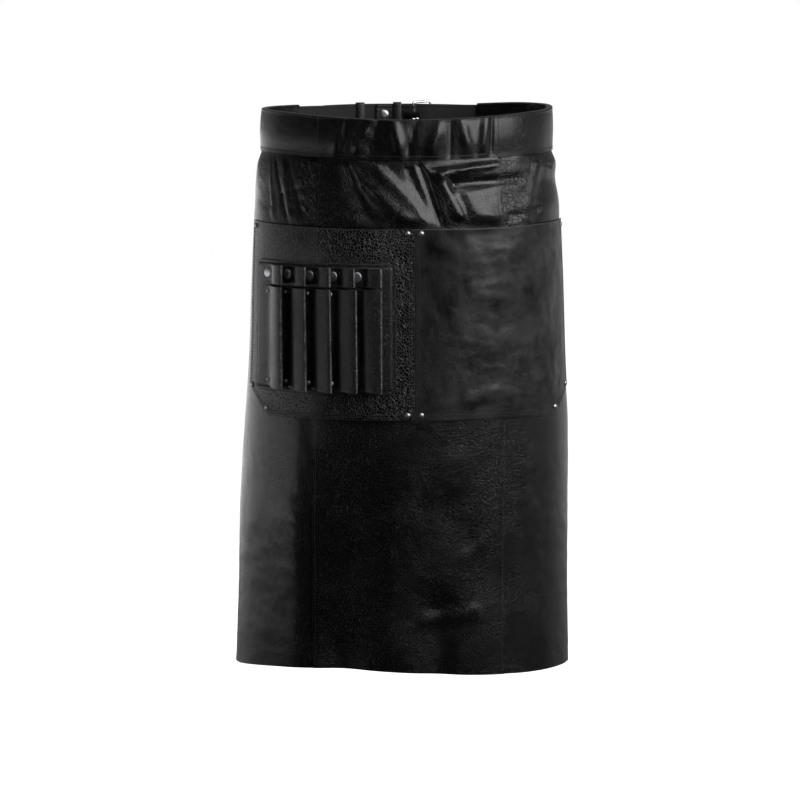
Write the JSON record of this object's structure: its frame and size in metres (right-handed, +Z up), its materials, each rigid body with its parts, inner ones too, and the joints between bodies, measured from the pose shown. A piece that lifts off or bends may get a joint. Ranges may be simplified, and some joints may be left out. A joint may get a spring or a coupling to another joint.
{
  "type": "leather waist apron",
  "caption": "Long black leather waist apron with a gathered tunnel waistband, buckled belt, two riveted patch pockets and a looped tool holder",
  "frame": {"origin": "the middle of the waist loop, at half the height of the waistband", "axes": "+Z up along the wearer, +X to the viewer's right, the front faces -Y"},
  "size_m": [0.4513, 0.292, 0.7577],
  "materials": {
    "leather": "semi-gloss black",
    "pebbled_leather": "pebble-grained black",
    "strap_leather": "smooth black",
    "rivet_metal": "nickel plated",
    "buckle_chrome": "polished"
  },
  "bodies": {
    "root": {"panel_front": "leather", "panel_left": "leather", "panel_right": "leather", "band_front": "leather", "band_left": "leather", "band_right": "leather", "pocket_right": "leather", "tool_patch": "leather", "tool_strip": "leather", "tool_sleeves": "leather", "pocket_left": "pebbled_leather", "belt": "strap_leather", "keeper_fixed": "strap_leather", "keeper_sliding": "strap_leather", "belt_rivet_upper": "rivet_metal", "belt_rivet_lower": "rivet_metal", "rivet_cap_1": "rivet_metal", "rivet_cap_2": "rivet_metal", "rivet_cap_3": "rivet_metal", "rivet_cap_4": "rivet_metal", "rivet_cap_5": "rivet_metal", "rivet_sleeve_top_1": "rivet_metal", "rivet_sleeve_bottom_1": "rivet_metal", "rivet_sleeve_top_2": "rivet_metal", "rivet_sleeve_bottom_2": "rivet_metal", "rivet_sleeve_top_3": "rivet_metal", "rivet_sleeve_bottom_3": "rivet_metal", "rivet_sleeve_top_4": "rivet_metal", "rivet_sleeve_bottom_4": "rivet_metal", "rivet_sleeve_top_5": "rivet_metal", "rivet_sleeve_bottom_5": "rivet_metal", "rivet_left_top_inner": "rivet_metal", "rivet_left_bottom_inner": "rivet_metal", "rivet_left_top_outer": "rivet_metal", "rivet_left_corner_upper": "rivet_metal", "rivet_left_corner_lower": "rivet_metal", "rivet_right_top_inner": "rivet_metal", "rivet_right_bottom_inner": "rivet_metal", "rivet_right_top_outer": "rivet_metal", "rivet_right_corner_upper": "rivet_metal", "rivet_right_corner_lower": "rivet_metal", "buckle_frame": "buckle_chrome", "buckle_prong": "buckle_chrome"}
  },
  "joints": []
}
